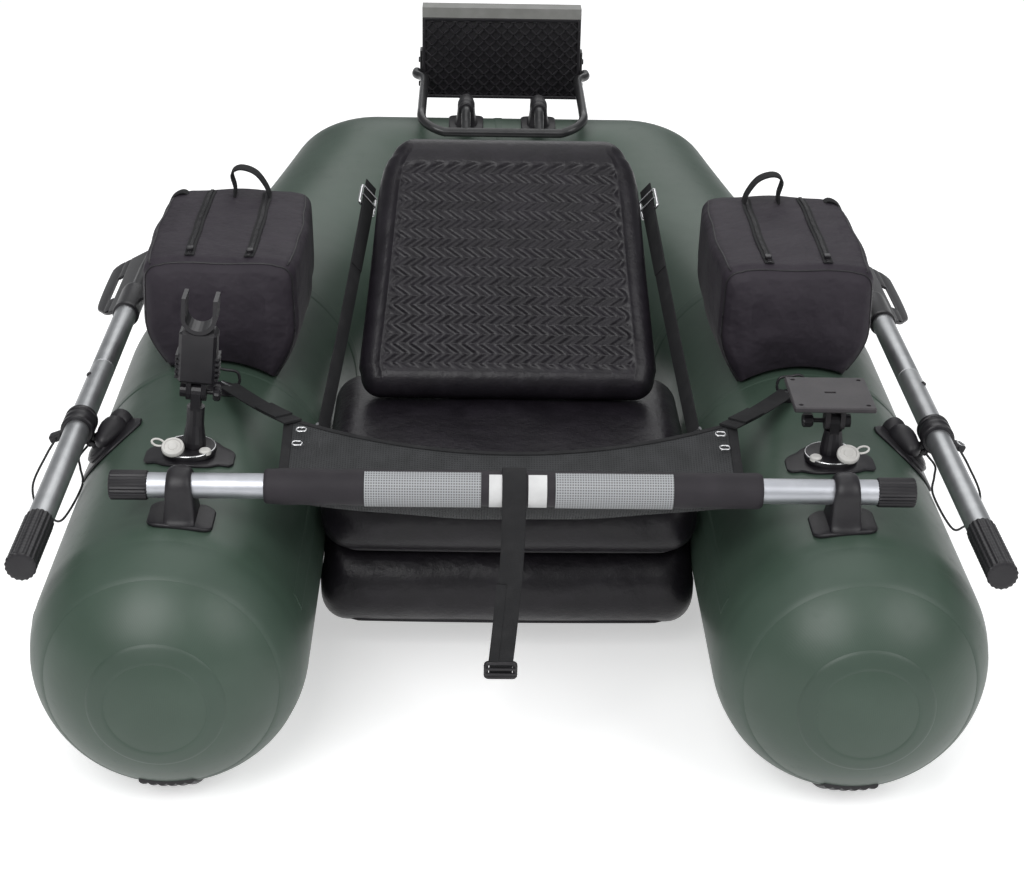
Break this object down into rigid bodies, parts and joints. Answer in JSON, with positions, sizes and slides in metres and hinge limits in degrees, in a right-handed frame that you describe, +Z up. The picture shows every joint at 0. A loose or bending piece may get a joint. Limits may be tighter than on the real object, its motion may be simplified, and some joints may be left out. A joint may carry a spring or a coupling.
{
  "type": "inflatable fishing float tube",
  "caption": "U-shaped inflatable fishing float tube with padded seat, stabiliser bar with mesh apron, stowed oars, rod holder, instrument plate, side bags and motor mount.",
  "frame": {"origin": "middle of the footprint of the whole object, on the floor under the keel strakes", "axes": "+Y from the open end of the U to the closed end with the motor board, +X to the right as seen from the open end, +Z up"},
  "size_m": [1.249, 1.79, 0.5934],
  "materials": {
    "hull_green": "satin",
    "black_vinyl": "satin",
    "black_rubber": "matte",
    "black_plastic": "matte",
    "grey_plastic": "matte",
    "white_plastic": "gloss",
    "aluminium": "brushed",
    "black_metal": "satin",
    "bag_cloth": "matte",
    "webbing": "matte",
    "mesh_cloth": "matte",
    "sleeve_cloth": "matte",
    "cord_black": "matte"
  },
  "bodies": {
    "hull_body": {"hull": "hull_green", "keel_strake_left": "black_rubber", "keel_strake_right": "black_rubber", "seat_base": "black_vinyl", "seat_cushion": "black_vinyl", "valve_left": "black_plastic", "valve_right": "black_plastic", "crossbar_loop_left": "black_rubber", "crossbar_loop_right": "black_rubber", "mount_base_left": "black_plastic", "mount_base_right": "black_plastic", "mount_plug_left": "white_plastic", "mount_plug_right": "white_plastic", "oarlock_base_left": "black_plastic", "oarlock_base_right": "black_plastic", "apron_ring_left": "black_plastic", "apron_ring_right": "black_plastic", "strap_ring_left": "black_plastic", "strap_ring_right": "black_plastic", "motor_holder_left": "black_rubber", "motor_holder_right": "black_rubber", "bag_left": "bag_cloth", "bag_right": "bag_cloth", "motor_frame": "black_metal", "motor_board": "black_plastic", "board_cap": "aluminium"},
    "crossbar": {"crossbar_tube": "aluminium", "crossbar_cap_left": "black_rubber", "crossbar_cap_right": "black_rubber", "crossbar_sleeve": "sleeve_cloth", "apron_mesh": "mesh_cloth"},
    "crotch": {"crotch_strap": "webbing", "crotch_buckle": "black_plastic"},
    "back": {"backrest": "black_vinyl"},
    "rod_post": {"rod_holder_post": "black_plastic"},
    "rod_cradle": {"rod_holder_cradle": "black_plastic"},
    "rod_knob": {"rod_holder_knob": "black_plastic"},
    "plate_stand": {"plate_post": "black_plastic"},
    "plate": {"finder_plate": "grey_plastic"},
    "plate_clamp": {"plate_knob": "black_plastic"},
    "back_strap_left": {"backrest_strap_left": "webbing"},
    "back_strap_right": {"backrest_strap_right": "webbing"},
    "oar_head_left_body": {"oar_head_left": "black_plastic"},
    "oar_collar_left_body": {"oar_collar_left": "black_plastic", "tether_cord_left": "cord_black"},
    "oar_left": {"oar_handle_shaft_left": "aluminium", "oar_blade_shaft_left": "aluminium", "oar_grip_left": "black_rubber", "oar_blade_left": "black_plastic"},
    "oar_catch_left": {"oar_button_left": "black_plastic"},
    "mount_catch_left": {"mount_button_left": "white_plastic"},
    "oar_head_right_body": {"oar_head_right": "black_plastic"},
    "oar_collar_right_body": {"oar_collar_right": "black_plastic", "tether_cord_right": "cord_black"},
    "oar_right": {"oar_handle_shaft_right": "aluminium", "oar_blade_shaft_right": "aluminium", "oar_grip_right": "black_rubber", "oar_blade_right": "black_plastic"},
    "oar_catch_right": {"oar_button_right": "black_plastic"},
    "mount_catch_right": {"mount_button_right": "white_plastic"}
  },
  "joints": [
    {"name": "crossbar_slide", "type": "slide", "parent": "hull_body", "child": "crossbar", "axis": [1, 0, 0], "range_m": [-0.01, 0.01]},
    {"name": "crotch_swing", "type": "hinge", "parent": "crossbar", "child": "crotch", "pos_m": [0, -0.726, 0.375], "axis": [1, 0, 0], "range_deg": [-60, 10]},
    {"name": "backrest_fold", "type": "hinge", "parent": "hull_body", "child": "back", "pos_m": [0, -0.265, 0.3156], "axis": [1, 0, 0], "range_deg": [0, 15]},
    {"name": "back_strap_left_swing", "type": "hinge", "parent": "back", "child": "back_strap_left", "pos_m": [-0.2, -0.073, 0.506], "axis": [1, 0, 0], "range_deg": [-15, 0]},
    {"name": "back_strap_right_swing", "type": "hinge", "parent": "back", "child": "back_strap_right", "pos_m": [0.2, -0.073, 0.506], "axis": [1, 0, 0], "range_deg": [-15, 0]},
    {"name": "rod_swivel", "type": "hinge", "parent": "hull_body", "child": "rod_post", "pos_m": [-0.394, -0.555, 0.3459], "axis": [0, 0, 1], "continuous": true},
    {"name": "rod_tilt", "type": "hinge", "parent": "rod_post", "child": "rod_cradle", "pos_m": [-0.38754, -0.555, 0.41972], "axis": [0.9962, 0, -0.0872], "range_deg": [-60, 60]},
    {"name": "rod_knob_turn", "type": "hinge", "parent": "rod_cradle", "child": "rod_knob", "pos_m": [-0.38754, -0.555, 0.41972], "axis": [0.9962, 0, -0.0872], "continuous": true},
    {"name": "plate_swivel", "type": "hinge", "parent": "hull_body", "child": "plate_stand", "pos_m": [0.4, -0.555, 0.3459], "axis": [0, 0, 1], "continuous": true},
    {"name": "plate_tilt", "type": "hinge", "parent": "plate_stand", "child": "plate", "pos_m": [0.4, -0.555, 0.3895], "axis": [1, 0, 0], "range_deg": [-25, 25]},
    {"name": "plate_knob_turn", "type": "hinge", "parent": "plate", "child": "plate_clamp", "pos_m": [0.4, -0.555, 0.3895], "axis": [1, 0, 0], "continuous": true},
    {"name": "oar_swing_left", "type": "hinge", "parent": "hull_body", "child": "oar_head_left_body", "pos_m": [-0.53355, -0.429, 0.28886], "axis": [-0.7314, 0, 0.682], "range_deg": [0, 18], "deforming": ["tether_cord_left"]},
    {"name": "oar_dip_left", "type": "hinge", "parent": "oar_head_left_body", "child": "oar_collar_left_body", "pos_m": [-0.54061, -0.429, 0.29545], "axis": [-0.682, 0, -0.7314], "range_deg": [-4, 2], "deforming": ["tether_cord_left"]},
    {"name": "oar_feather_left", "type": "hinge", "parent": "oar_collar_left_body", "child": "oar_left", "pos_m": [-0.55999, -0.429, 0.31352], "axis": [0, 1, 0], "range_deg": [-70, 10]},
    {"name": "oar_catch_left_press", "type": "slide", "parent": "oar_left", "child": "oar_catch_left", "axis": [-0.6428, 0, 0.766], "range_m": [-0.003, 0], "stiffness_N_per_m": 200, "springref_m": 0.002},
    {"name": "mount_catch_left_press", "type": "slide", "parent": "hull_body", "child": "mount_catch_left", "axis": [0, 0, 1], "range_m": [-0.0025, 0], "stiffness_N_per_m": 300, "springref_m": 0.001},
    {"name": "oar_swing_right", "type": "hinge", "parent": "hull_body", "child": "oar_head_right_body", "pos_m": [0.53355, -0.429, 0.28886], "axis": [-0.7314, 0, -0.682], "range_deg": [0, 18], "deforming": ["tether_cord_right"]},
    {"name": "oar_dip_right", "type": "hinge", "parent": "oar_head_right_body", "child": "oar_collar_right_body", "pos_m": [0.54061, -0.429, 0.29545], "axis": [-0.682, 0, 0.7314], "range_deg": [-4, 2], "deforming": ["tether_cord_right"]},
    {"name": "oar_feather_right", "type": "hinge", "parent": "oar_collar_right_body", "child": "oar_right", "pos_m": [0.55999, -0.429, 0.31352], "axis": [0, -1, 0], "range_deg": [-70, 10]},
    {"name": "oar_catch_right_press", "type": "slide", "parent": "oar_right", "child": "oar_catch_right", "axis": [0.6428, 0, 0.766], "range_m": [-0.003, 0], "stiffness_N_per_m": 200, "springref_m": 0.002},
    {"name": "mount_catch_right_press", "type": "slide", "parent": "hull_body", "child": "mount_catch_right", "axis": [0, 0, 1], "range_m": [-0.0025, 0], "stiffness_N_per_m": 300, "springref_m": 0.001}
  ],
  "couplings": [
    {"joint": "back_strap_left_swing", "follows": "backrest_fold", "ratio": -1},
    {"joint": "back_strap_right_swing", "follows": "backrest_fold", "ratio": -1}
  ]
}
